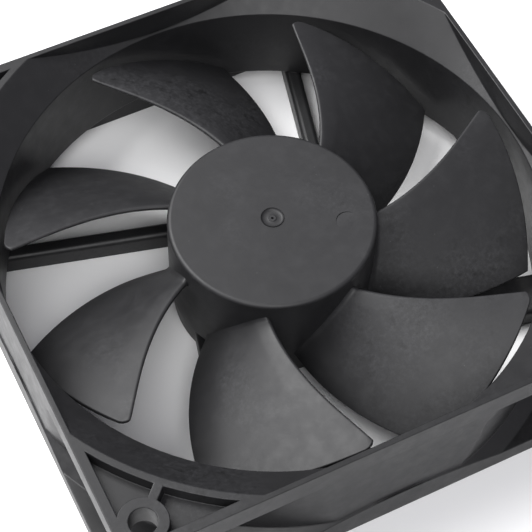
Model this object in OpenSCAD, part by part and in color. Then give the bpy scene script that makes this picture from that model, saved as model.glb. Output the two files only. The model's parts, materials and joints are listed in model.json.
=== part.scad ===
/* [Frame] */
// Width and depth of the square frame
frame_w = 92; // [91:0.5:93]
// Height of the frame along the airflow
frame_h = 25; // [24.5:0.25:26]
// Radius of the frame's outer corners
corner_r = 3.5; // [2:0.5:5]
// Thickness of the intake-side flange
front_flange_h = 4.6; // [4:0.1:5]
// Thickness of the exhaust-side flange
rear_flange_h = 3.5; // [3:0.1:4]
// Radius of the straight part of the air duct
bore_r = 44.7; // [44.4:0.1:44.9]
// Radius that the intake flare opens to
inlet_r = 51; // [49:0.5:51]
// Depth of the intake flare
inlet_flare_h = 5; // [4:0.5:6]
// Radius that the exhaust flare opens to
outlet_r = 48.6; // [47:0.2:49]
// Depth of the exhaust flare
outlet_flare_h = 4.5; // [3:0.5:5]
// Width of the rim left beside the flares at the middle of each side
side_rim = 0.95; // [0.8:0.05:1.2]
// Outer radius of the duct wall at the exhaust end
duct_rear_r = 46.6; // [46.2:0.1:47]
// Outer radius of the duct wall at the intake end
duct_front_r = 48.3; // [48:0.1:49.5]
// Height of the sloped root that joins the exhaust-side flange to the duct
flange_root_h = 2.2; // [1:0.1:2.5]
// Radius where that root runs out on the flange
flange_root_r = 49.5; // [49:0.1:50]
// How far the duct's flat sides stand back from the flange edges
duct_recess = 0.35; // [0.2:0.05:0.5]

/* [Mounting corners] */
// Distance between screw-hole centres
hole_spacing = 82.5; // [82:0.5:83]
// Radius of the screw holes
hole_r = 2.15; // [2:0.05:2.25]
// Radius of the round boss about each screw hole
boss_r = 3.9; // [3.6:0.1:4.2]
// Depth of the triangular pockets
pocket_d = 2.4; // [1.5:0.1:3]
// Width of the rim outside the pockets
pocket_rim = 1.7; // [1.4:0.1:2]
// Radius of the ring wall inside the pockets
pocket_ring_r = 52.2; // [52:0.1:53]
// Width of the diagonal rib between the ring wall and the boss
rib_w = 1.5; // [1.2:0.1:2]

/* [Struts and motor base] */
// Radius of the motor base
base_r = 16.6; // [16:0.1:17]
// Thickness of the motor base's floor
base_floor = 1.8; // [1.5:0.1:2]
// Gap between the motor base and the surface that the frame rests on
base_lift = 0.3; // [0.2:0.05:0.4]
// Height of the base's rim wall above its underside
base_rim_h = 4; // [3.6:0.1:4.2]
// Distance of each plain strut's outer edge from the fan's axis
strut_edge = 14.4; // [14:0.1:15]
// Direction of the first strut, counter-clockwise from +X, in degrees
strut_dir = 75; // [70:1:80]
// Width of the three plain struts
strut_w = 2.8; // [2.4:0.1:3.2]
// Height of the struts
strut_h = 3.9; // [3.5:0.1:4]
// Distance of the wire strut's outer edge from the fan's axis
wire_strut_edge = 15.2; // [15:0.1:15.4]
// Width of the strut that holds the wire channel
wire_strut_w = 7.6; // [7:0.1:8]
// Width of the wire channel
channel_w = 4.4; // [4:0.1:4.8]

/* [Impeller] */
// Outer radius of the hub
hub_r = 17.1; // [16:0.1:17.2]
// Height of the hub's flat cap above the frame's underside
hub_top = 21.7; // [21:0.1:22.5]
// Height of the hub skirt's lower edge
hub_bottom = 5; // [4.9:0.1:5.4]
// Thickness of the hub's skirt
hub_wall = 1.4; // [1.2:0.1:1.6]
// Size of the bevel around the cap
hub_bevel = 0.7; // [0.4:0.1:1]
// Number of blades
blade_count = 7; // [5:1:7]
// Radius of the blade tips
tip_r = 43.4; // [42.5:0.1:43.8]
// Angle of the first blade's leading tip, counter-clockwise from +X
first_blade = 59.3; // [0:0.1:60]
// Angle that each blade tip spans
tip_chord = 35.2; // [30:0.2:38]
// Angle by which the leading tip runs ahead of the leading root
lead_sweep = 22.5; // [15:0.5:26]
// Angle by which the trailing tip runs ahead of the trailing root
trail_sweep = 23.5; // [15:0.5:26]
// Height of the leading edge at the hub
lead_root_z = 18.2; // [17:0.1:19]
// Height of the leading edge at the tip
lead_tip_z = 20.4; // [19:0.1:21]
// Height of the trailing edge at the hub
trail_root_z = 6.1; // [6:0.1:7]
// Height of the trailing edge at the tip
trail_tip_z = 7.7; // [7:0.1:9]
// How much of each blade's slope is left to its trailing half
camber = 0.3; // [0:0.05:0.5]
// Blade thickness at the hub
blade_root_t = 1.5; // [1.2:0.1:1.8]
// Blade thickness at the tip
blade_tip_t = 1; // [0.8:0.1:1.2]

/* [Motor] */
// Radius of the shaft
shaft_r = 1.5; // [1.5:0.1:1.6]
// Radial clearance between the shaft and the bearing sleeve
shaft_clearance = 0.02; // [0.01:0.01:0.04]
// Outer radius of the bearing sleeve
sleeve_r = 3.1; // [2.9:0.1:3.2]
// Outer radius of the bearing tube
tube_r = 4; // [3.8:0.1:4.1]
// Outer radius of the stator's pole faces
stator_r = 11.1; // [10.8:0.1:11.2]
// Height of the stator's lamination stack
stack_h = 5; // [4.5:0.1:5.4]
// Number of stator poles and windings
pole_count = 4; // [4:1:4]
// Inner radius of the ring magnet
magnet_in_r = 11.6; // [11.5:0.1:12]

/* [Hidden] */
$fn = 96;
cut = 1;                                    // overrun of a cutting tool past a face

half_w = frame_w / 2;
hole_at = hole_spacing / 2;
front_z = frame_h - front_flange_h;         // underside of the intake-side flange
base_z = base_lift;
floor_z = base_z + base_floor;              // upper face of the base's floor
cup_r = base_r - 1;                         // inside of the base's rim
wire_strut = 3;                             // number of the strut with the wire channel
strut_reach = 49.5;                         // strut length, ending inside the rear flange
duct_bite = 45.6;                           // radius where a strut's top ends inside the duct wall

board_z = floor_z + 0.8;                    // underside of the circuit board
board_t = 1;
board_r = 15.2;
board_top = board_z + board_t;
seat_r = 5;                                 // boss that holds the bearing tube
seat_top = board_top + 0.7;
cap_seat_z = base_z + 1;                    // lip that the bearing tube stands on

tube_top = 16.6;
sleeve_z = 2.7;
sleeve_top = 15.5;
shaft_z = 1.6;
shaft_top = hub_top - 0.8;
groove_z = 2.15;
groove_h = 0.35;
groove_r = 1.15;
clip_t = 0.25;
washer_t = 0.25;
slinger_z = 15.95;
slinger_t = 0.6;
small_washer_r = 2.6;

cap_t = 1.5;
cap_under = hub_top - cap_t;                // underside of the hub's cap
hub_in_r = hub_r - hub_wall;
shaft_boss_r = 3.4;
shaft_boss_h = 3.3;
yoke_t = 1;
yoke_bottom = 6;
magnet_out_r = hub_in_r - yoke_t;
magnet_z = 7;
magnet_h = 11.4;

stack_z = 9.4;
stack_top = stack_z + stack_h;
arm_w = 3;
core_ring_r = 5.9;
shoe_in_r = 9.5;
shoe_half = 37;                             // half angle of a pole shoe
insulator_t = 0.8;
insulator_wall = 2.5;
winding_in = 6.1;
winding_len = 2.8;
winding_t = 1.5;
winding_gap = 0.03;
pin_r = 0.3;
pin_at = 7.2;
pin_angles = [45, 135, 225];
pin_z = board_z - 0.5;
pin_top = stack_z - 1;

// A flat square with round corners
module rounded_square(w, r) {
    square([w, w - 2 * r], center = true);
    square([w - 2 * r, w], center = true);
    for (x = [-1, 1], y = [-1, 1])
        translate([x * (w / 2 - r), y * (w / 2 - r)])
            circle(r);
}

// A flat rectangle with round corners
module rounded_rect(w, d, r) {
    square([w, d - 2 * r], center = true);
    square([w - 2 * r, d], center = true);
    for (x = [-1, 1], y = [-1, 1])
        translate([x * (w / 2 - r), y * (d / 2 - r)])
            circle(r);
}

// A ring or a washer
module ring(r_out, r_in, z, h) {
    translate([0, 0, z])
        linear_extrude(h)
            difference() {
                circle(r_out);
                circle(r_in);
            }
}

// A flat sector, from the axis out to radius r, half degrees to each side of +X
module sector(r, half) {
    intersection() {
        circle(r);
        polygon([[0, 0], [2 * r * cos(half), -2 * r * sin(half)],
                 [2 * r * cos(half), 2 * r * sin(half)]]);
    }
}

// Everything that the air passes through: straight bore with a flare at each end
module air_path() {
    inlet_slope = (inlet_r - bore_r) / inlet_flare_h;
    outlet_slope = (outlet_r - bore_r) / outlet_flare_h;
    intersection() {
        rotate_extrude($fn = 180)
            polygon([
                [0, -cut], [outlet_r + outlet_slope * cut, -cut],
                [bore_r, outlet_flare_h], [bore_r, frame_h - inlet_flare_h],
                [inlet_r + inlet_slope * cut, frame_h + cut], [0, frame_h + cut]
            ]);
        translate([0, 0, -2 * cut])
            linear_extrude(frame_h + 4 * cut)
                square(frame_w - 2 * side_rim, center = true);
    }
}

// Outline of the two triangular pockets in one corner, towards +X +Y
module pocket_outline() {
    difference() {
        square(half_w - pocket_rim);
        circle(pocket_ring_r);
        translate([hole_at, hole_at]) {
            circle(boss_r);
            square(boss_r);
        }
        rotate(45)
            translate([0, -rib_w / 2])
                square([frame_w, rib_w]);
    }
}

// Duct wall: a cone with its sides cut flat
module duct() {
    intersection() {
        cylinder(h = frame_h, r1 = duct_rear_r, r2 = duct_front_r, $fn = 180);
        linear_extrude(frame_h)
            square(frame_w - 2 * duct_recess, center = true);
    }
}

// Sloped root of the exhaust-side flange
module flange_root() {
    intersection() {
        translate([0, 0, rear_flange_h])
            cylinder(h = flange_root_h, r1 = flange_root_r, r2 = half_w, $fn = 180);
        linear_extrude(frame_h)
            square(frame_w, center = true);
    }
}

// Pockets of one flange, cut downwards from height z
module pockets(z) {
    translate([0, 0, z])
        for (a = [0:90:270])
            rotate(a)
                linear_extrude(pocket_d + cut)
                    pocket_outline();
}

module screw_holes() {
    for (x = [-1, 1], y = [-1, 1])
        translate([x * hole_at, y * hole_at, -cut])
            cylinder(h = frame_h + 2 * cut, r = hole_r);
}

// Strut number i, w wide, a bar with rounded upper edges that passes beside the axis
module strut(i, w, outer) {
    edge = 0.9;
    rotate(strut_dir + 90 * i)
        translate([0, w / 2 - outer, base_z])
            rotate([90, 0, 90])
                linear_extrude(strut_reach)
                    union() {
                        translate([-w / 2, 0])
                            square([w, strut_h - edge]);
                        translate([-w / 2 + edge, 0])
                            square([w - 2 * edge, strut_h]);
                        for (side = [-1, 1])
                            translate([side * (w / 2 - edge), strut_h - edge])
                                circle(edge);
                    }
}

module struts() {
    intersection() {
        union() {
            for (i = [0:wire_strut - 1])
                strut(i, strut_w, strut_edge);
            strut(wire_strut, wire_strut_w, wire_strut_edge);
        }
        union() {
            cylinder(h = rear_flange_h, r = strut_reach);
            cylinder(h = base_z + strut_h + cut, r = duct_bite);
        }
    }
}

// Channel for the wires: along the last strut, out through the rear flange
module wire_channel() {
    roof = 1;
    middle = wire_strut_edge - wire_strut_w / 2;
    rotate(strut_dir + 90 * wire_strut)
        translate([3, -middle - channel_w / 2, -cut])
            cube([frame_w, channel_w, base_z + strut_h - roof + cut]);
}

// Rear motor base: a shallow cup with a seat for the bearing tube
module motor_base() {
    difference() {
        union() {
            translate([0, 0, base_z])
                cylinder(h = base_rim_h, r = base_r);
            struts();
        }
        ring(cup_r, 0, floor_z, frame_h);
    }
    ring(cup_r + 0.2, board_r - 0.7, floor_z, board_z - floor_z);
    ring(seat_r, 0, base_z, seat_top - base_z);
}

module frame() {
    color("#2a2a2c")
    difference() {
        union() {
            difference() {
                union() {
                    linear_extrude(rear_flange_h)
                        rounded_square(frame_w, corner_r);
                    translate([0, 0, front_z])
                        linear_extrude(front_flange_h)
                            rounded_square(frame_w, corner_r);
                    duct();
                    flange_root();
                }
                air_path();
                pockets(frame_h - pocket_d);
                pockets(-cut);
            }
            motor_base();
        }
        screw_holes();
        wire_channel();
        translate([0, 0, -cut])
            cylinder(h = frame_h, r = sleeve_r);
        translate([0, 0, cap_seat_z])
            cylinder(h = frame_h, r = tube_r);
    }
}

// Blade geometry. u runs from 0 at the root to 1 at the tip, t from 0 at the
// leading edge to 1 at the trailing edge, and side is 1 above and -1 below.
blade_rows = 12;
blade_cols = 12;
root_r = hub_r - 0.7;
tip_round = 1.1;                            // how far the leading tip corner is cut back

function blade_r(u, t) =
    let (edge = max(0, 1 - t * 14))
    root_r + u * (tip_r - tip_round * edge * edge - root_r);
function blade_out(r) = (r - hub_r) / (tip_r - hub_r);
function blade_angle(r, t) =
    let (v = 1 - blade_out(r),
         lead = -lead_sweep * sign(v) * pow(abs(v), 1.25),
         trail = -tip_chord - trail_sweep * v)
    lead + (trail - lead) * t;
function blade_z(r, t) =
    let (v = blade_out(r),
         high = lead_root_z + (lead_tip_z - lead_root_z) * v,
         low = trail_root_z + (trail_tip_z - trail_root_z) * v)
    high - (high - low) * ((1 - camber) * t + camber * t * t);
// Half the thickness: rounded at the leading edge, thin at the trailing edge
function blade_half(r, t) =
    let (full = blade_root_t + (blade_tip_t - blade_root_t) * blade_out(r))
    full / 2 * (0.3 + 0.7 * sqrt(min(1, 6 * t))) * (1 - 0.55 * t * t);
function blade_point(u, t, side) =
    let (r = blade_r(u, t),
         step = 0.01,
         arc = (blade_angle(r, t + step) - blade_angle(r, t - step)) * r * PI / 180,
         rise = blade_z(r, t + step) - blade_z(r, t - step),
         slope = norm([arc, rise]),
         half = blade_half(r, t) * side,
         a = first_blade + blade_angle(r, t) + half * rise / slope / r * 180 / PI)
    [r * cos(a), r * sin(a), blade_z(r, t) - half * arc / slope];

// Columns lie closer together near the leading edge
function column(j) = pow(j / blade_cols, 1.3);

module blade() {
    across = blade_cols + 1;
    layer = (blade_rows + 1) * across;
    points = [
        for (side = [1, -1], i = [0:blade_rows], j = [0:blade_cols])
            blade_point(i / blade_rows, column(j), side)
    ];
    top = function(i, j) i * across + j;
    low = function(i, j) layer + top(i, j);
    skins = [
        for (i = [0:blade_rows - 1], j = [0:blade_cols - 1]) each [
            [top(i, j), top(i + 1, j), top(i + 1, j + 1)],
            [top(i, j), top(i + 1, j + 1), top(i, j + 1)],
            [low(i, j), low(i + 1, j + 1), low(i + 1, j)],
            [low(i, j), low(i, j + 1), low(i + 1, j + 1)]
        ]
    ];
    lead_and_trail = [
        for (i = [0:blade_rows - 1]) each [
            [top(i, 0), low(i, 0), low(i + 1, 0)],
            [top(i, 0), low(i + 1, 0), top(i + 1, 0)],
            [top(i, blade_cols), low(i + 1, blade_cols), low(i, blade_cols)],
            [top(i, blade_cols), top(i + 1, blade_cols), low(i + 1, blade_cols)]
        ]
    ];
    root_and_tip = [
        for (j = [0:blade_cols - 1]) each [
            [top(0, j), low(0, j + 1), low(0, j)],
            [top(0, j), top(0, j + 1), low(0, j + 1)],
            [top(blade_rows, j), low(blade_rows, j), low(blade_rows, j + 1)],
            [top(blade_rows, j), low(blade_rows, j + 1), top(blade_rows, j + 1)]
        ]
    ];
    polyhedron(points, concat(skins, lead_and_trail, root_and_tip));
}

// Hub: a cup with a bevelled cap and a boss for the shaft
module hub() {
    dimple_r = 2.2;
    dimple_d = 0.15;
    difference() {
        union() {
            rotate_extrude($fn = 180)
                polygon([
                    [0, cap_under], [hub_in_r, cap_under], [hub_in_r, hub_bottom],
                    [hub_r, hub_bottom], [hub_r, hub_top - hub_bevel],
                    [hub_r - hub_bevel, hub_top], [0, hub_top]
                ]);
            translate([0, 0, cap_under - shaft_boss_h])
                cylinder(h = shaft_boss_h + 0.2, r = shaft_boss_r);
        }
        translate([0, 0, cap_under - shaft_boss_h - cut])
            cylinder(h = shaft_top - cap_under + shaft_boss_h + cut, r = shaft_r);
        translate([0, 0, hub_top - dimple_d])
            cylinder(h = cut, r = dimple_r);
    }
}

module impeller() {
    color("#2e2e30") {
        hub();
        for (k = [0:blade_count - 1])
            rotate(k * 360 / blade_count)
                blade();
    }
}

// Steel cup pressed into the hub, which carries the magnet
module rotor_yoke() {
    color("silver")
    rotate_extrude()
        polygon([
            [shaft_boss_r, cap_under], [hub_in_r, cap_under], [hub_in_r, yoke_bottom],
            [magnet_out_r, yoke_bottom], [magnet_out_r, cap_under - yoke_t],
            [shaft_boss_r, cap_under - yoke_t]
        ]);
}

module ring_magnet() {
    color("#3a3a3a")
    ring(magnet_out_r, magnet_in_r, magnet_z, magnet_h);
}

// Shaft with chamfered ends and a groove for the retaining clip
module shaft() {
    chamfer = 0.3;
    color("gainsboro")
    rotate_extrude()
        polygon([
            [0, shaft_z], [shaft_r - chamfer, shaft_z], [shaft_r, shaft_z + chamfer],
            [shaft_r, groove_z], [groove_r, groove_z], [groove_r, groove_z + groove_h],
            [shaft_r, groove_z + groove_h], [shaft_r, shaft_top], [0, shaft_top]
        ]);
}

// Open-sided snap washer in the shaft's groove
module retaining_clip() {
    slit = 1.2;
    color("silver")
    difference() {
        ring(2.4, groove_r, groove_z + 0.05, clip_t);
        translate([0, -slit / 2, 0])
            cube([5, slit, groove_z + 1]);
    }
}

// Washer on the shaft that throws escaping oil back into the tube
module oil_slinger() {
    color("white")
    ring(small_washer_r, shaft_r, slinger_z, slinger_t);
}

module thrust_washer() {
    color("ivory")
    ring(2.9, shaft_r + 0.1, sleeve_top, washer_t);
}

module bearing_tube() {
    color("goldenrod")
    ring(tube_r, sleeve_r, cap_seat_z, tube_top - cap_seat_z);
}

// Porous bronze sleeve with chamfered mouths
module bearing_sleeve() {
    bore = shaft_r + shaft_clearance;
    mouth = 0.25;
    color("peru")
    rotate_extrude()
        polygon([
            [bore + mouth, sleeve_z], [sleeve_r, sleeve_z], [sleeve_r, sleeve_top],
            [bore + mouth, sleeve_top], [bore, sleeve_top - mouth], [bore, sleeve_z + mouth]
        ]);
}

// Flat outline of a stator part: hub ring, arms and pole shoes out to radius r
module pole_outline(r) {
    difference() {
        union() {
            circle(core_ring_r);
            for (k = [0:pole_count - 1])
                rotate(k * 360 / pole_count) {
                    translate([0, -arm_w / 2])
                        square([shoe_in_r + 0.5, arm_w]);
                    difference() {
                        sector(r, shoe_half);
                        circle(shoe_in_r);
                    }
                }
        }
        circle(tube_r);
    }
}

module stator_core() {
    color("slategray")
    translate([0, 0, stack_z])
        linear_extrude(stack_h)
            pole_outline(stator_r);
}

// Insulator on the upper face of the stack: a plate with walls that hold the windings
module insulator() {
    wall_r = stator_r - 0.6;
    linear_extrude(insulator_t)
        pole_outline(wall_r);
    linear_extrude(insulator_wall) {
        difference() {
            circle(core_ring_r);
            circle(tube_r + 0.7);
        }
        for (k = [0:pole_count - 1])
            rotate(k * 360 / pole_count)
                difference() {
                    sector(wall_r, shoe_half - 12);
                    circle(shoe_in_r);
                }
    }
}

module upper_insulator() {
    color("ivory")
    translate([0, 0, stack_top])
        insulator();
}

// The lower insulator has three lugs that hold the terminal pins
module lower_insulator() {
    color("ivory")
    difference() {
        union() {
            translate([0, 0, stack_z])
                mirror([0, 0, 1])
                    insulator();
            for (a = pin_angles)
                rotate(a) {
                    translate([pin_at, 0, stack_z - insulator_wall])
                        cylinder(h = insulator_wall, r = 0.8, $fn = 32);
                    translate([core_ring_r - 0.5, -0.5, stack_z - insulator_t])
                        cube([pin_at - core_ring_r + 0.5, 1, insulator_t]);
                }
        }
        for (a = pin_angles)
            rotate(a)
                translate([pin_at, 0, 0])
                    cylinder(h = pin_top, r = pin_r, $fn = 32);
    }
}

// Copper winding number k, wound about one stator arm
module winding(k) {
    inner_w = arm_w + 2 * winding_gap;
    inner_h = stack_h + 2 * insulator_t + 2 * winding_gap;
    color("chocolate")
    rotate(k * 360 / pole_count)
        translate([winding_in, 0, stack_z + stack_h / 2])
            rotate([90, 0, 90])
                linear_extrude(winding_len)
                    difference() {
                        rounded_rect(inner_w + 2 * winding_t, inner_h + 2 * winding_t, 1);
                        square([inner_w, inner_h], center = true);
                    }
}

module winding_1() {
    winding(0);
}

module winding_2() {
    winding(1);
}

module winding_3() {
    winding(2);
}

module winding_4() {
    winding(3);
}

// Round board with three pin holes and a bite where the wires arrive
module circuit_board() {
    color("darkgreen")
    translate([0, 0, board_z])
        linear_extrude(board_t)
            difference() {
                circle(board_r);
                circle(seat_r + 0.1);
                for (a = pin_angles)
                    rotate(a)
                        translate([pin_at, 0])
                            circle(pin_r, $fn = 32);
                rotate(strut_dir + 90 * wire_strut)
                    translate([6, wire_strut_w / 2 - wire_strut_edge - channel_w / 2 - 0.3])
                        square([frame_w, channel_w + 0.4]);
            }
}

// A small part standing on the board at a radius and an angle
module on_board(r, a, size) {
    rotate(a)
        translate([r - size.x / 2, -size.y / 2, board_top])
            cube(size);
}

module hall_sensor() {
    color("#222222")
    on_board(12.6, 0, [1.5, 3.6, 2]);
}

// Driver chip with four gull-wing legs along each of two sides
module driver_chip() {
    body = [3.9, 4.9, 1.2];
    lift = 0.15;
    pitch = 1.27;
    color("#222222")
    rotate(-45)
        translate([10, 0, board_top]) {
            translate([-body.x / 2, -body.y / 2, lift])
                cube(body);
            for (side = [-1, 1], n = [-1.5:1:1.5])
                translate([side * 2.45 - 0.55, n * pitch - 0.2, 0])
                    cube([1.1, 0.4, 0.5]);
        }
}

module capacitor() {
    color("tan")
    on_board(9.5, 20, [1.6, 3.2, 1.3]);
}

module diode() {
    color("#333333")
    on_board(12, 60, [1.6, 2.7, 1.1]);
}

module resistors() {
    color("#222222")
    for (a = [95, 115])
        on_board(12, a, [1.25, 2, 0.5]);
}

module terminal_pins() {
    color("gold")
    for (a = pin_angles)
        rotate(a)
            translate([pin_at, 0, pin_z])
                cylinder(h = pin_top - pin_z, r = pin_r, $fn = 32);
}

// Rubber plug that closes the bearing from behind
module oil_cap() {
    color("#202020")
    translate([0, 0, base_z])
        cylinder(h = cap_seat_z - base_z - 0.05, r = sleeve_r);
}

// Blank label over the motor base
module rear_label() {
    color("gainsboro")
    ring(cup_r - 0.4, 0, base_z - 0.15, 0.15);
}

frame();
impeller();
rotor_yoke();
ring_magnet();
shaft();
retaining_clip();
oil_slinger();
thrust_washer();
bearing_tube();
bearing_sleeve();
stator_core();
upper_insulator();
lower_insulator();
winding_1();
winding_2();
winding_3();
winding_4();
circuit_board();
hall_sensor();
driver_chip();
capacitor();
diode();
resistors();
terminal_pins();
oil_cap();
rear_label();
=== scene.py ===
import json
import math

import bmesh
import bpy
from mathutils import Matrix, Vector


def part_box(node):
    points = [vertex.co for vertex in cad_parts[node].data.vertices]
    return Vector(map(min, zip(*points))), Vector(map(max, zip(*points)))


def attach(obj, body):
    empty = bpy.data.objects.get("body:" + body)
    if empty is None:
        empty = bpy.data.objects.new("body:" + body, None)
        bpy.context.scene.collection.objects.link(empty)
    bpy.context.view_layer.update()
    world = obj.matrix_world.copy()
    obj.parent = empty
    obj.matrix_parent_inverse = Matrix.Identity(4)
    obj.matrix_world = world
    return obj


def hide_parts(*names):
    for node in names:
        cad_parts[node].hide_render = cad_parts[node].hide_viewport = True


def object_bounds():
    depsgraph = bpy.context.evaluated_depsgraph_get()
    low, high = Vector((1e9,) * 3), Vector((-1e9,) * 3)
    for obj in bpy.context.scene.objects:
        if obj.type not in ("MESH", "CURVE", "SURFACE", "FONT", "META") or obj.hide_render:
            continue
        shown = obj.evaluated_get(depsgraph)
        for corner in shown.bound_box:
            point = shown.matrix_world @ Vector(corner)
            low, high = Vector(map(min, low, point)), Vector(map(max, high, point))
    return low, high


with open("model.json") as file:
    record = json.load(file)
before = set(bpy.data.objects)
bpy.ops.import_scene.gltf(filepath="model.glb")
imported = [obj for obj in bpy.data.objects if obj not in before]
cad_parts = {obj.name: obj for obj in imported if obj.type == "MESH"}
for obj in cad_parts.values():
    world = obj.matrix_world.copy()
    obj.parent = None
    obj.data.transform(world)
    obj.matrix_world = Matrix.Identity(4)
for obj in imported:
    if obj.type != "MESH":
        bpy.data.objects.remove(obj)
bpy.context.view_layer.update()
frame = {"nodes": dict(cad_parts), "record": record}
nodes = frame["nodes"]
MM = 0.001


# ---------------------------------------------------------------- camera

# The camera's place about its target, in degrees and metres
CAM_AZIMUTH = -27.95
CAM_ELEVATION = 56.91
CAM_ROLL = -1.92
CAM_DISTANCE = 0.2752
CAM_TARGET = Vector((-6.10, -9.84, 25.0)) * MM
CAM_LENS = 118.87


def make_camera():
    turn, lift = math.radians(CAM_AZIMUTH), math.radians(CAM_ELEVATION)
    flat = math.cos(lift)
    back = Vector((math.sin(turn) * flat, -math.cos(turn) * flat, math.sin(lift)))
    right = (-back).cross(Vector((0, 0, 1))).normalized()
    up = right.cross(-back)
    roll = math.radians(CAM_ROLL)
    x = right * math.cos(roll) - up * math.sin(roll)
    y = right * math.sin(roll) + up * math.cos(roll)
    data = bpy.data.cameras.new("camera")
    data.lens = CAM_LENS
    data.sensor_width = 36
    data.clip_start = 0.01
    camera = bpy.data.objects.new("camera", data)
    turn_matrix = Matrix((x, y, back)).transposed().to_4x4()
    camera.matrix_world = Matrix.Translation(CAM_TARGET + back * CAM_DISTANCE) @ turn_matrix
    bpy.context.scene.collection.objects.link(camera)
    bpy.context.scene.camera = camera


make_camera()


# ---------------------------------------------------------------- materials

class Finish:
    """A node material on the Principled shader, with textures that ride with the object."""

    def __init__(self, name, **sockets):
        self.material = bpy.data.materials.new(name)
        self.material.use_nodes = True
        self.tree = self.material.node_tree
        self.shader = self.tree.nodes["Principled BSDF"]
        self.place = self.add("ShaderNodeTexCoord").outputs["Object"]
        self.normal = None
        for socket, value in sockets.items():
            self.shader.inputs[socket.replace("_", " ")].default_value = value

    def add(self, kind, **settings):
        node = self.tree.nodes.new(kind)
        for key, value in settings.items():
            setattr(node, key, value)
        return node

    def link(self, source, target):
        self.tree.links.new(source, target)

    def noise(self, size, detail=3.0, roughness=0.55, stretch=(1, 1, 1)):
        """Noise whose grains are about size metres across, longer where stretch is below 1."""
        mapping = self.add("ShaderNodeMapping")
        mapping.inputs["Scale"].default_value = [s / size for s in stretch]
        self.link(self.place, mapping.inputs["Vector"])
        node = self.add("ShaderNodeTexNoise")
        node.inputs["Scale"].default_value = 1.0
        node.inputs["Detail"].default_value = detail
        node.inputs["Roughness"].default_value = roughness
        self.link(mapping.outputs["Vector"], node.inputs["Vector"])
        return node.outputs["Fac"]

    def bands(self, size, axis):
        """Stripes size metres apart, across an axis."""
        mapping = self.add("ShaderNodeMapping")
        mapping.inputs["Scale"].default_value = [1 / size] * 3
        self.link(self.place, mapping.inputs["Vector"])
        node = self.add("ShaderNodeTexWave", wave_profile="SIN", bands_direction=axis)
        # One stripe of a wave texture at scale 1 is pi / 10 long
        node.inputs["Scale"].default_value = math.pi / 10
        node.inputs["Distortion"].default_value = 0.0
        self.link(mapping.outputs["Vector"], node.inputs["Vector"])
        return node.outputs["Fac"]

    def specks(self, size, width):
        """Scattered dots size metres apart, each a share width of that across."""
        mapping = self.add("ShaderNodeMapping")
        mapping.inputs["Scale"].default_value = [1 / size] * 3
        self.link(self.place, mapping.inputs["Vector"])
        node = self.add("ShaderNodeTexVoronoi")
        node.inputs["Scale"].default_value = 1.0
        self.link(mapping.outputs["Vector"], node.inputs["Vector"])
        return self.spread(node.outputs["Distance"], 0.0, width, 1.0, 0.0)

    def spread(self, value, low, high, to_low, to_high):
        node = self.add("ShaderNodeMapRange")
        node.inputs["From Min"].default_value = low
        node.inputs["From Max"].default_value = high
        node.inputs["To Min"].default_value = to_low
        node.inputs["To Max"].default_value = to_high
        self.link(value, node.inputs["Value"])
        return node.outputs["Result"]

    def mix(self, amount, first, second):
        """A colour from first to second, each a colour or an earlier mix."""
        node = self.add("ShaderNodeMix", data_type="RGBA")
        self.link(amount, node.inputs["Factor"])
        for socket, value in ((node.inputs[6], first), (node.inputs[7], second)):
            if isinstance(value, tuple):
                socket.default_value = (*value, 1)
            else:
                self.link(value, socket)
        return node.outputs[2]

    def math(self, operation, first, second=0.0):
        node = self.add("ShaderNodeMath", operation=operation)
        for socket, value in zip(node.inputs, (first, second)):
            if isinstance(value, (int, float)):
                socket.default_value = value
            else:
                self.link(value, socket)
        return node.outputs["Value"]

    def product(self, first, second):
        return self.math("MULTIPLY", first, second)

    def across(self):
        """(larger of |x| and |y|, z) of the point, in metres."""
        split = self.add("ShaderNodeSeparateXYZ")
        self.link(self.place, split.inputs["Vector"])
        x = self.math("ABSOLUTE", split.outputs["X"])
        y = self.math("ABSOLUTE", split.outputs["Y"])
        return self.math("MAXIMUM", x, y), split.outputs["Z"]

    def painted_shade_mask(self, top, height, reach):
        """1 in the band just under a flange whose underside is at top, beyond reach, where the
        flange's shadow line is painted in as dark colour.
        """
        side, z = self.across()
        above = self.spread(z, top - height, top - 0.35 * height, 0.0, 1.0)
        below = self.spread(z, top, top + 0.05 * MM, 1.0, 0.0)
        outside = self.spread(side, reach, reach + 0.05 * MM, 0.0, 1.0)
        return self.product(self.product(above, below), outside)

    def colour(self, source):
        self.link(source, self.shader.inputs["Base Color"])

    def rough(self, value, low, high, to_low, to_high):
        spread = self.spread(value, low, high, to_low, to_high)
        self.link(spread, self.shader.inputs["Roughness"])

    def bump(self, height, depth, strength=1.0):
        """Relief of that depth in metres, on top of any earlier bump."""
        node = self.add("ShaderNodeBump")
        node.inputs["Strength"].default_value = strength
        node.inputs["Distance"].default_value = depth
        self.link(height, node.inputs["Height"])
        if self.normal is not None:
            self.link(self.normal, node.inputs["Normal"])
        self.normal = node.outputs["Normal"]
        self.link(self.normal, self.shader.inputs["Normal"])


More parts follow.
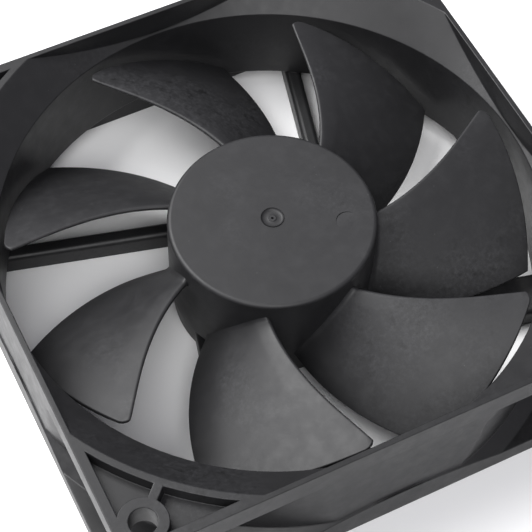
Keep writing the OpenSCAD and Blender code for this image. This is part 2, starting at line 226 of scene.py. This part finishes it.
def moulded_plastic(name, dark, light, matte, mottle_depth, grain_depth, painted_shade_line=None):
    """Moulded plastic: eroded-mould grain, mottling, flow shading, scuffs and a little dust, and
    where asked a painted shade line under a flange.
    """
    finish = Finish(name, IOR=1.5, Specular_IOR_Level=0.4)
    flow = finish.noise(26 * MM, 2.0, stretch=(1, 1, 0.6))
    mottle = finish.noise(2.6 * MM, 5.0, 0.62)
    grain = finish.noise(0.22 * MM, 2.0)
    dust = finish.specks(3.1 * MM, 0.045)
    tone = finish.mix(finish.spread(flow, 0.3, 0.7, 0.0, 1.0), dark, light)
    worn = tuple(1.35 * c for c in light)
    tone = finish.mix(finish.spread(mottle, 0.5, 0.8, 0.0, 0.5), tone, worn)
    # Scuffed patches: fine pale and dark flecks where the part was handled
    patch = finish.spread(finish.noise(21 * MM, 2.0), 0.5, 0.66, 0.0, 1.0)
    fleck = finish.noise(0.75 * MM, 4.0, 0.7)
    pale = finish.product(patch, finish.spread(fleck, 0.44, 0.74, 0.0, 0.6))
    smear = finish.noise(1.9 * MM, 4.0, 0.7)
    dull = finish.product(patch, finish.spread(smear, 0.55, 0.68, 0.0, 0.8))
    tone = finish.mix(pale, tone, tuple(2.6 * c for c in light))
    tone = finish.mix(dull, tone, tuple(0.35 * c for c in dark))
    tone = finish.mix(finish.spread(dust, 0.0, 1.0, 0.0, 0.4), tone, (0.11, 0.11, 0.115))
    if painted_shade_line:
        # Painted shade: a near-black line under the flange that stands in for its shadow
        tone = finish.mix(finish.painted_shade_mask(*painted_shade_line), tone, (0.002, 0.002, 0.002))
    finish.colour(tone)
    finish.rough(mottle, 0.3, 0.75, matte - 0.06, matte + 0.07)
    finish.bump(pale, 0.02 * MM, 0.4)
    finish.bump(mottle, mottle_depth, 0.5)
    finish.bump(grain, grain_depth, 0.6)
    return finish.material


def metal(name, base, tint, roughness, grain, stretch=(1, 1, 1)):
    """Bare metal with drawn or ground grain and slight discolouring."""
    finish = Finish(name, Metallic=1.0)
    lines = finish.noise(grain, 4.0, 0.6, stretch)
    stain = finish.noise(3 * MM, 3.0)
    finish.colour(finish.mix(finish.spread(stain, 0.35, 0.7, 0.0, 1.0), base, tint))
    finish.rough(lines, 0.3, 0.7, roughness - 0.07, roughness + 0.1)
    finish.bump(lines, 0.006 * MM, 0.5)
    return finish.material


def nylon(name, base, shade, roughness):
    """Natural nylon, slightly translucent, with flow clouds and fine grain."""
    finish = Finish(name, IOR=1.53, Subsurface_Weight=0.15, Subsurface_Scale=0.4 * MM)
    cloud = finish.noise(2.2 * MM, 3.0)
    grain = finish.noise(0.15 * MM, 2.0)
    finish.colour(finish.mix(finish.spread(cloud, 0.3, 0.7, 0.0, 1.0), base, shade))
    finish.rough(cloud, 0.3, 0.7, roughness - 0.05, roughness + 0.08)
    finish.bump(grain, 0.008 * MM, 0.5)
    return finish.material


# Thickness of the intake-side flange, and the height of its underside
FRONT_FLANGE_H = 4.6 * MM
FLANGE_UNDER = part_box("frame")[1].z - FRONT_FLANGE_H


def make_materials():
    made = {}
    made["frame_plastic"] = moulded_plastic(
        "frame_plastic", (0.0085, 0.0085, 0.0091), (0.0125, 0.0125, 0.0134),
        0.44, 0.02 * MM, 0.006 * MM,
        # Painted shade line just under the intake flange, along the four outer sides
        painted_shade_line=(FLANGE_UNDER, 1.1 * MM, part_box("frame")[1].x - 1.2 * MM))
    made["impeller_plastic"] = moulded_plastic(
        "impeller_plastic", (0.0118, 0.0118, 0.0126), (0.0168, 0.0168, 0.018),
        0.5, 0.028 * MM, 0.008 * MM)
    made["yoke_steel"] = metal(
        "yoke_steel", (0.52, 0.52, 0.5), (0.6, 0.58, 0.53), 0.34, 0.6 * MM, (1, 1, 0.08))
    made["shaft_steel"] = metal(
        "shaft_steel", (0.62, 0.62, 0.63), (0.56, 0.56, 0.57), 0.2, 0.3 * MM, (0.1, 0.1, 1))
    made["tube_brass"] = metal(
        "tube_brass", (0.72, 0.5, 0.2), (0.6, 0.4, 0.16), 0.3, 0.4 * MM, (0.1, 0.1, 1))
    made["pin_tin"] = metal(
        "pin_tin", (0.68, 0.68, 0.66), (0.56, 0.56, 0.55), 0.32, 0.2 * MM)
    made["insulator_nylon"] = nylon("insulator_nylon", (0.62, 0.58, 0.47), (0.7, 0.66, 0.55), 0.45)
    made["washer_nylon"] = nylon("washer_nylon", (0.68, 0.67, 0.63), (0.75, 0.74, 0.7), 0.4)
    made["clip_plastic"] = nylon("clip_plastic", (0.58, 0.57, 0.54), (0.66, 0.65, 0.61), 0.38)

    # Sintered bronze: open pores that hold the oil
    finish = Finish("sleeve_bronze", Metallic=0.85)
    pores = finish.specks(0.28 * MM, 0.32)
    stain = finish.noise(1.8 * MM)
    amount = finish.spread(stain, 0.3, 0.7, 0.0, 1.0)
    tone = finish.mix(amount, (0.5, 0.3, 0.14), (0.42, 0.25, 0.12))
    finish.colour(finish.mix(pores, tone, (0.1, 0.06, 0.03)))
    finish.rough(stain, 0.3, 0.7, 0.36, 0.5)
    finish.bump(pores, -0.02 * MM)
    made["sleeve_bronze"] = finish.material

    # Ferrite: dark grey, dry and slightly pitted
    finish = Finish("magnet_ferrite", IOR=1.9)
    pits = finish.specks(0.7 * MM, 0.16)
    cloud = finish.noise(1.5 * MM, 4.0)
    amount = finish.spread(cloud, 0.3, 0.7, 0.0, 1.0)
    finish.colour(finish.mix(amount, (0.035, 0.034, 0.034), (0.06, 0.058, 0.056)))
    finish.rough(cloud, 0.3, 0.7, 0.5, 0.68)
    finish.bump(pits, -0.03 * MM)
    made["magnet_ferrite"] = finish.material

    # Punched silicon steel: bluish scale, a little rust and sheared edges
    finish = Finish("lamination_steel", Metallic=0.9)
    shear = finish.noise(0.14 * MM, 3.0, 0.6, (1, 1, 0.25))
    rust = finish.noise(1.6 * MM, 4.0)
    amount = finish.spread(rust, 0.45, 0.75, 0.0, 1.0)
    tone = finish.mix(amount, (0.4, 0.41, 0.43), (0.34, 0.3, 0.27))
    finish.colour(finish.mix(finish.spread(shear, 0.55, 0.8, 0.0, 0.5), tone, (0.12, 0.12, 0.13)))
    finish.rough(rust, 0.3, 0.7, 0.36, 0.52)
    finish.bump(shear, 0.008 * MM, 0.6)
    made["lamination_steel"] = finish.material

    # Enamelled copper wire
    finish = Finish("winding_copper", Metallic=0.9, Coat_Weight=0.6, Coat_Roughness=0.12)
    tint = finish.noise(0.9 * MM, 3.0)
    streak = finish.noise(0.12 * MM, 2.0)
    amount = finish.spread(tint, 0.3, 0.7, 0.0, 1.0)
    tone = finish.mix(amount, (0.62, 0.24, 0.09), (0.72, 0.33, 0.13))
    amount = finish.spread(streak, 0.55, 0.75, 0.0, 0.5)
    finish.colour(finish.mix(amount, tone, (0.4, 0.14, 0.05)))
    finish.rough(tint, 0.3, 0.7, 0.22, 0.34)
    finish.bump(streak, 0.006 * MM, 0.5)
    made["winding_copper"] = finish.material

    # Green solder mask over glass weave and copper fill
    finish = Finish("board_laminate", IOR=1.5, Coat_Weight=0.4, Coat_Roughness=0.2)
    weave = finish.bands(0.45 * MM, "X")
    weft = finish.bands(0.45 * MM, "Y")
    fill = finish.noise(3.5 * MM, 1.0)
    amount = finish.spread(fill, 0.49, 0.51, 0.0, 1.0)
    finish.colour(finish.mix(amount, (0.012, 0.075, 0.03), (0.02, 0.12, 0.048)))
    finish.rough(fill, 0.3, 0.7, 0.36, 0.48)
    finish.bump(fill, 0.01 * MM)
    finish.bump(weave, 0.006 * MM)
    finish.bump(weft, 0.006 * MM)
    made["board_laminate"] = finish.material

    # Filled epoxy of the chip bodies
    finish = Finish("chip_epoxy", IOR=1.55)
    speck = finish.specks(0.12 * MM, 0.4)
    cloud = finish.noise(0.8 * MM)
    finish.colour(finish.mix(cloud, (0.012, 0.012, 0.013), (0.026, 0.026, 0.027)))
    finish.rough(cloud, 0.3, 0.7, 0.5, 0.64)
    finish.bump(speck, 0.006 * MM)
    made["chip_epoxy"] = finish.material

    # Tan ceramic with a sugary break
    finish = Finish("capacitor_ceramic", IOR=1.7)
    cloud = finish.noise(0.5 * MM, 4.0)
    finish.colour(finish.mix(cloud, (0.3, 0.2, 0.11), (0.42, 0.3, 0.17)))
    finish.rough(cloud, 0.3, 0.7, 0.34, 0.5)
    finish.bump(cloud, 0.008 * MM)
    made["capacitor_ceramic"] = finish.material

    # Soft black rubber with bloom
    finish = Finish("cap_rubber", IOR=1.5)
    bloom = finish.noise(1.2 * MM, 4.0, 0.65)
    amount = finish.spread(bloom, 0.45, 0.8, 0.0, 1.0)
    finish.colour(finish.mix(amount, (0.012, 0.012, 0.012), (0.05, 0.05, 0.052)))
    finish.rough(bloom, 0.3, 0.7, 0.62, 0.8)
    finish.bump(bloom, 0.015 * MM)
    made["cap_rubber"] = finish.material

    # Brushed aluminium film with a printed ring near its edge and nothing written on it
    finish = Finish("label_film", Metallic=0.75, IOR=1.5)
    brush = finish.noise(0.25 * MM, 4.0, 0.6, (0.03, 1, 1))
    handled = finish.noise(7 * MM, 3.0)
    low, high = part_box("rear_label")
    reach = finish.add("ShaderNodeVectorMath", operation="LENGTH")
    finish.link(finish.place, reach.inputs[0])
    rim = (high.x - low.x) / 2
    outside = finish.spread(reach.outputs["Value"], rim - 1.45 * MM, rim - 1.4 * MM, 0.0, 1.0)
    inside = finish.spread(reach.outputs["Value"], rim - 0.85 * MM, rim - 0.8 * MM, 1.0, 0.0)
    ring = finish.product(outside, inside)
    amount = finish.spread(brush, 0.3, 0.7, 0.0, 1.0)
    tone = finish.mix(amount, (0.5, 0.5, 0.51), (0.62, 0.62, 0.63))
    tone = finish.mix(finish.spread(handled, 0.55, 0.8, 0.0, 0.35), tone, (0.4, 0.4, 0.4))
    finish.colour(finish.mix(ring, tone, (0.03, 0.03, 0.035)))
    finish.rough(handled, 0.3, 0.7, 0.34, 0.46)
    finish.bump(brush, 0.004 * MM, 0.6)
    made["label_film"] = finish.material
    return made


materials = make_materials()


def paint(obj, slot):
    obj.data.materials.clear()
    obj.data.materials.append(materials[slot])


# ---------------------------------------------------------------- mesh tools

# Points of a CAD mesh that are closer than this are one point
WELD = 0.002 * MM


def new_object(name, mesh):
    obj = bpy.data.objects.new(name, mesh)
    bpy.context.scene.collection.objects.link(obj)
    return obj


def apply_modifiers(obj):
    """Bakes the object's modifiers into its mesh."""
    graph = bpy.context.evaluated_depsgraph_get()
    baked = bpy.data.meshes.new_from_object(obj.evaluated_get(graph))
    obj.modifiers.clear()
    old, obj.data = obj.data, baked
    bpy.data.meshes.remove(old)


def soften(obj, width, sharp=28.0):
    """Rounds every edge sharper than an angle, and shades the rest smooth."""
    for face in obj.data.polygons:
        face.use_smooth = True
    bevel = obj.modifiers.new("bevel", "BEVEL")
    bevel.width = width
    bevel.segments = 2
    bevel.limit_method = "ANGLE"
    bevel.angle_limit = math.radians(sharp)
    bevel.use_clamp_overlap = False
    weigh = obj.modifiers.new("normals", "WEIGHTED_NORMAL")
    weigh.weight = 80
    apply_modifiers(obj)


def clean_copy(node, name):
    """A copy of a CAD node's mesh with its flat faces whole again."""
    work = bmesh.new()
    work.from_mesh(nodes[node].data)
    bmesh.ops.remove_doubles(work, verts=work.verts, dist=WELD)
    bmesh.ops.dissolve_limit(
        work, angle_limit=math.radians(0.3), verts=work.verts, edges=work.edges)
    mesh = bpy.data.meshes.new(name)
    work.to_mesh(mesh)
    work.free()
    return new_object(name, mesh)


def lathe(outline, steps):
    """A closed bmesh of revolution about Z. Outline points are (radius, height), in metres."""
    work = bmesh.new()
    rings = []
    for r, z in outline:
        if r < 1e-9:
            rings.append([work.verts.new((0, 0, z))])
        else:
            turn = [2 * math.pi * k / steps for k in range(steps)]
            rings.append([work.verts.new((r * math.cos(a), r * math.sin(a), z)) for a in turn])
    for one, two in zip(rings, rings[1:] + rings[:1]):
        for k in range(steps):
            j = (k + 1) % steps
            if len(one) == 1 and len(two) == 1:
                break
            if len(one) == 1:
                work.faces.new((one[0], two[j], two[k]))
            elif len(two) == 1:
                work.faces.new((one[k], one[j], two[0]))
            else:
                work.faces.new((one[k], one[j], two[j], two[k]))
    bmesh.ops.recalc_face_normals(work, faces=work.faces)
    return work


def from_bmesh(name, work):
    mesh = bpy.data.meshes.new(name)
    work.to_mesh(mesh)
    work.free()
    return new_object(name, mesh)


def combine(target, tool, operation):
    """Boolean of tool into target. The tool is used up."""
    step = target.modifiers.new("combine", "BOOLEAN")
    step.operation = operation
    step.solver = "EXACT"
    step.object = tool
    apply_modifiers(target)
    bpy.data.objects.remove(tool)


def arc_points(centre, radius, start, end, count):
    """Points of an arc in the (radius, height) plane, angles in degrees."""
    turn = [math.radians(start + (end - start) * k / count) for k in range(count + 1)]
    return [(centre[0] + radius * math.cos(a), centre[1] + radius * math.sin(a)) for a in turn]


# ---------------------------------------------------------------- frame

# The frame is the CAD shape with its moulded edges rounded
FRAME_EDGE = 0.16 * MM
shell = clean_copy("frame", "frame_shell")
soften(shell, FRAME_EDGE)
paint(shell, "frame_plastic")
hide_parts("frame")
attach(shell, "stator")


# ---------------------------------------------------------------- impeller

# Sizes of the impeller in millimetres and degrees, as in the CAD
HUB_R = 17.1
HUB_TOP = 21.7
HUB_BOTTOM = 5.0
HUB_WALL = 1.4
HUB_EDGE = 0.75
CAP_T = 1.5
SHAFT_BOSS_R = 3.4
SHAFT_BOSS_H = 3.3
SHAFT_R = 1.5
SHAFT_TOP = 20.9
BLADES = 7
TIP_R = 43.4
TIP_CUT = 1.1
FIRST_BLADE = 59.3
TIP_CHORD = 35.2
LEAD_SWEEP, TRAIL_SWEEP = 22.5, 23.5
LEAD_Z = (18.2, 20.4)
TRAIL_Z = (6.1, 7.7)
CAMBER = 0.3
BLADE_T = (1.5, 1.0)
ROOT_FILLET = 0.9
TIP_EDGE = 0.22


def between(pair, v):
    return pair[0] + (pair[1] - pair[0]) * v


def blade_centre(r, t):
    """Angle in degrees and height of the blade's middle surface."""
    out = (r - HUB_R) / (TIP_R - HUB_R)
    v = 1 - out
    lead = -LEAD_SWEEP * math.copysign(abs(v) ** 1.25, v)
    trail = -TIP_CHORD - TRAIL_SWEEP * v
    high, low = between(LEAD_Z, out), between(TRAIL_Z, out)
    return lead + (trail - lead) * t, high - (high - low) * ((1 - CAMBER) * t + CAMBER * t * t)


def blade_half(r, t, chord):
    """Half the thickness, rounded over at both edges and filleted into the hub."""
    out = (r - HUB_R) / (TIP_R - HUB_R)
    half = between(BLADE_T, out) / 2
    half *= (0.42 + 0.58 * math.sqrt(min(1, 6 * t))) * (1 - 0.5 * t * t)
    nose = 1.0
    for edge in (t, 1 - t):
        share = min(1.0, edge * chord / half)
        nose *= math.sqrt(max(0.0, 1 - (1 - share) ** 2))
    s = min(1.0, max(0.16, (r - HUB_R) / ROOT_FILLET + 0.16))
    fillet = ROOT_FILLET * (1 - math.sqrt(1 - (1 - s) ** 2))
    return (half + fillet) * nose


def blade_point(r, t, side, inset):
    step = 0.004
    t0, t1 = max(0, t - step), min(1, t + step)
    (a0, z0), (a1, z1) = blade_centre(r, t0), blade_centre(r, t1)
    arc, rise = math.radians(a1 - a0) * r, z1 - z0
    slope = math.hypot(arc, rise)
    chord = slope / (t1 - t0)
    a, z = blade_centre(r, t)
    half = max(0.0, blade_half(r, t, chord) - inset) * side
    a = math.radians(FIRST_BLADE + a + math.degrees(half * rise / slope / r))
    return Vector((r * math.cos(a), r * math.sin(a), z - half * arc / slope)) * MM


def blade_columns():
    """Shares of the chord, close together at both rounded edges."""
    lead, trail, count, crowd = 0.022, 0.012, 34, 1.08
    nose = [lead * (1 - math.cos(math.radians(15 * k))) for k in range(6)]
    body = [lead + (1 - (lead + trail)) * (k / count) ** crowd for k in range(count)]
    tail = [1 - trail * (1 - math.cos(math.radians(18 * k))) for k in range(5)][::-1]
    return nose + body + tail


def blade_rows():
    """(radius, inset) of each section: root fillet, sheet, then the rounded tip."""
    fillet_rows, sheet_rows, tip_rows = 6, 26, 4
    rows = [(HUB_R - 0.9, 0.0), (HUB_R - 0.05, 0.0)]
    rows += [(HUB_R + ROOT_FILLET * k / fillet_rows, 0.0) for k in range(1, fillet_rows + 1)]
    inner, outer = HUB_R + ROOT_FILLET, TIP_R - TIP_EDGE
    rows += [(inner + (outer - inner) * k / sheet_rows, 0.0) for k in range(1, sheet_rows + 1)]
    for k in range(1, tip_rows + 1):
        a = math.radians(90 / tip_rows * k)
        rows.append((outer + TIP_EDGE * math.sin(a), TIP_EDGE * (1 - math.cos(a))))
    return rows


def make_blade():
    work = bmesh.new()
    columns = blade_columns()
    loops = []
    for r, inset in blade_rows():
        ring = []
        path = [(t, 1) for t in columns] + [(t, -1) for t in columns[-2:0:-1]]
        for t, side in path:
            corner = max(0.0, 1 - 14 * t)
            share = max(0.0, (r - HUB_R) / (TIP_R - HUB_R))
            reach = r - TIP_CUT * corner ** 2 * share
            ring.append(work.verts.new(blade_point(reach, t, side, inset)))
        loops.append(ring)
    for one, two in zip(loops, loops[1:]):
        for k in range(len(one)):
            j = (k + 1) % len(one)
            work.faces.new((one[k], one[j], two[j], two[k]))
    work.faces.new(loops[0][::-1])
    last = loops[-1]
    half = len(columns)
    for k in range(half - 1):
        low, high = -k % len(last), (-k - 1) % len(last)
        face = [last[k], last[k + 1], last[high], last[low]]
        unique = list(dict.fromkeys(face))
        if len(unique) > 2:
            work.faces.new(unique)
    bmesh.ops.remove_doubles(work, verts=work.verts, dist=1e-7)
    bmesh.ops.recalc_face_normals(work, faces=work.faces)
    return work


def make_hub():
    inner = HUB_R - HUB_WALL
    under = HUB_TOP - CAP_T
    edge = 0.25
    boss_end = under - SHAFT_BOSS_H
    outline = [(0, SHAFT_TOP), (SHAFT_R, SHAFT_TOP), (SHAFT_R, boss_end),
               (SHAFT_BOSS_R - edge, boss_end), (SHAFT_BOSS_R, boss_end + edge),
               (SHAFT_BOSS_R, under), (inner, under), (inner, HUB_BOTTOM + edge)]
    outline += arc_points((inner + edge, HUB_BOTTOM + edge), edge, 180, 270, 3)[1:]
    outline += arc_points((HUB_R - edge, HUB_BOTTOM + edge), edge, 270, 360, 4)
    outline += arc_points((HUB_R - HUB_EDGE, HUB_TOP - HUB_EDGE), HUB_EDGE, 0, 90, 8)
    # Gate recess: a shallow dish with a small raised nub and the gate's own pit
    dish_r, dish_d, nub_r, nub_h, pit_r, pit_d = 1.85, 0.26, 0.62, 0.16, 0.2, 0.3
    floor = HUB_TOP - dish_d
    outline += [(dish_r + 0.1, HUB_TOP), (dish_r, HUB_TOP - 0.03)]
    outline += arc_points((dish_r - 0.5, floor + 0.55), 0.55, -15, -80, 5)
    outline += [(nub_r + 0.22, floor), (nub_r + 0.06, floor + 0.04), (nub_r, floor + nub_h - 0.04)]
    outline += [(nub_r - 0.06, floor + nub_h), (pit_r + 0.05, floor + nub_h)]
    outline += [(pit_r, floor + nub_h - 0.05), (pit_r - 0.04, floor - pit_d), (0, floor - pit_d)]
    return lathe([(r * MM, z * MM) for r, z in outline], 192)


def make_ejector_mark():
    """A disc that leans into the cap, so that it leaves only a half-moon step."""
    mark_r, mark_at, mark_angle, deep_side, lean = 1.8, 12.1, -28.5, 112.0, 5.0
    work = lathe([(0, 0), (mark_r * MM, 0), (mark_r * MM, 1 * MM), (0, 1 * MM)], 64)
    around = math.radians(mark_angle)
    tilt = Matrix.Rotation(math.radians(lean), 4, "Y")
    spin = Matrix.Rotation(math.radians(deep_side), 4, "Z") @ tilt
    centre = Vector((mark_at * math.cos(around), mark_at * math.sin(around), HUB_TOP)) * MM
    work.transform(Matrix.Translation(centre) @ spin)
    return from_bmesh("mark", work)


def make_impeller():
    hub = from_bmesh("impeller_moulding", make_hub())
    combine(hub, make_ejector_mark(), "DIFFERENCE")
    one = make_blade()
    for k in range(BLADES):
        work = one.copy()
        work.transform(Matrix.Rotation(2 * math.pi * k / BLADES, 4, "Z"))
        combine(hub, from_bmesh("blade", work), "UNION")
    one.free()
    for face in hub.data.polygons:
        face.use_smooth = True
    hub.data.set_sharp_from_angle(angle=math.radians(32))
    weigh = hub.modifiers.new("normals", "WEIGHTED_NORMAL")
    weigh.keep_sharp = True
    apply_modifiers(hub)
    return hub


moulding = make_impeller()
paint(moulding, "impeller_plastic")
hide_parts("impeller")
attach(moulding, "rotor")


# ---------------------------------------------------------------- windings and laminations

# The windings' wire: distance between turns, layers, and the winding's corner radius
WIRE_PITCH = 0.28 * MM
LAYERS = 5
WINDING_CORNER = 1.0 * MM


def wire_loop(work, x, half_y, half_z, corner, radius, sides=8):
    """One closed turn of wire about the X axis, along a rectangle with round corners."""
    route = []
    for quarter, (sy, sz) in enumerate(((1, 1), (-1, 1), (-1, -1), (1, -1))):
        centre = (sy * (half_y - corner), sz * (half_z - corner))
        for step in range(6):
            a = math.radians(90 * quarter + 18 * step)
            route.append((centre, Vector((0, math.cos(a), math.sin(a)))))
    rings = []
    for (cy, cz), out in route:
        middle = Vector((x, cy, cz)) + out * corner
        ring = []
        for side in range(sides):
            a = 2 * math.pi * side / sides
            shift = out * math.cos(a) + Vector((math.sin(a), 0, 0))
            ring.append(work.verts.new(middle + shift * radius))
        rings.append(ring)
    for one, two in zip(rings, rings[1:] + rings[:1]):
        for k in range(sides):
            j = (k + 1) % sides
            work.faces.new((one[k], one[j], two[j], two[k]))


def make_coil(number):
    """Wire turns in place of one winding: the outer layer, and every layer at both ends."""
    low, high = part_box("winding_1")
    turns = round((high.x - low.x) / WIRE_PITCH)
    pitch = (high.x - low.x) / turns
    radius = 0.49 * pitch
    work = bmesh.new()
    for turn in range(turns):
        ends = turn in (0, turns - 1)
        for layer in range(LAYERS if ends else 1):
            depth = radius + layer * 2.08 * radius
            # A corner never tighter than the wire itself, which would fold it
            corner = max(WINDING_CORNER - 0.8 * depth, 1.05 * radius)
            wire_loop(work, low.x + (turn + 0.5) * pitch, high.y - depth,
                      (high.z - low.z) / 2 - depth, corner, radius)
    centre = Matrix.Translation((0, 0, (low.z + high.z) / 2))
    spin = Matrix.Rotation(math.radians(90 * (number - 1)), 4, "Z")
    work.transform(spin @ centre)
    bmesh.ops.recalc_face_normals(work, faces=work.faces)
    coil = from_bmesh(f"coil_{number}", work)
    for face in coil.data.polygons:
        face.use_smooth = True
    return coil


def make_laminations():
    """The stator core as a stack of separate sheets with a fine gap between each two."""
    sheets, fill = 10, 0.93
    low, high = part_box("stator_core")
    height = high.z - low.z
    thick = fill * height / sheets
    lift = (height - thick) / (sheets - 1)
    work = bmesh.new()
    for k in range(sheets):
        sheet = bmesh.new()
        sheet.from_mesh(nodes["stator_core"].data)
        bmesh.ops.remove_doubles(sheet, verts=sheet.verts, dist=WELD)
        for v in sheet.verts:
            v.co.z = low.z + k * lift + (v.co.z - low.z) / height * thick
        mesh = bpy.data.meshes.new("sheet")
        sheet.to_mesh(mesh)
        sheet.free()
        work.from_mesh(mesh)
        bpy.data.meshes.remove(mesh)
    return from_bmesh("lamination_stack", work)


for number in range(1, 5):
    coil = make_coil(number)
    paint(coil, "winding_copper")
    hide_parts(f"winding_{number}")
    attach(coil, "stator")

stack = make_laminations()
paint(stack, "lamination_steel")
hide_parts("stator_core")
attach(stack, "stator")


# ---------------------------------------------------------------- other CAD nodes

for row in frame["record"]["subparts"]:
    if not nodes[row["node"]].hide_render:
        paint(nodes[row["node"]], row["material_slot"])
        for face in nodes[row["node"]].data.polygons:
            face.use_smooth = True


# ---------------------------------------------------------------- floor and lights

FLOOR_SIZE = 6.0


def make_floor():
    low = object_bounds()[0]
    work = bmesh.new()
    bmesh.ops.create_grid(work, x_segments=8, y_segments=8, size=FLOOR_SIZE / 2)
    work.transform(Matrix.Translation((0, 0, low[2])))
    floor = from_bmesh("floor", work)
    paper = Finish("floor_paper", Roughness=0.7, IOR=1.3)
    cloud = paper.noise(40 * MM, 3.0)
    paper.colour(paper.mix(cloud, (0.93, 0.93, 0.93), (0.95, 0.95, 0.95)))
    floor.data.materials.append(paper.material)


def make_light(name, place, aim, size, power):
    data = bpy.data.lights.new(name, "AREA")
    data.shape = "RECTANGLE"
    data.size, data.size_y = size
    data.energy = power
    light = bpy.data.objects.new(name, data)
    light.location = place
    light.rotation_euler = (Vector(aim) - Vector(place)).to_track_quat("-Z", "Y").to_euler()
    bpy.context.scene.collection.objects.link(light)


def make_world(strength):
    world = bpy.data.worlds.new("studio")
    world.use_nodes = True
    back = world.node_tree.nodes["Background"]
    back.inputs["Color"].default_value = (0.93, 0.92, 1.0, 1)
    back.inputs["Strength"].default_value = strength
    bpy.context.scene.world = world


# What both lights aim at
FAN_MIDDLE = (0, 0, 0.01)

make_floor()
make_world(0.42)
make_light("key", (-0.45, 0.6, 0.9), FAN_MIDDLE, (0.9, 0.9), 25)
make_light("front", (-0.35, -0.65, 1.0), FAN_MIDDLE, (0.8, 0.8), 9.5)
# The Standard view keeps more contrast between the black plastic and the pale floor
bpy.context.scene.view_settings.view_transform = "Standard"
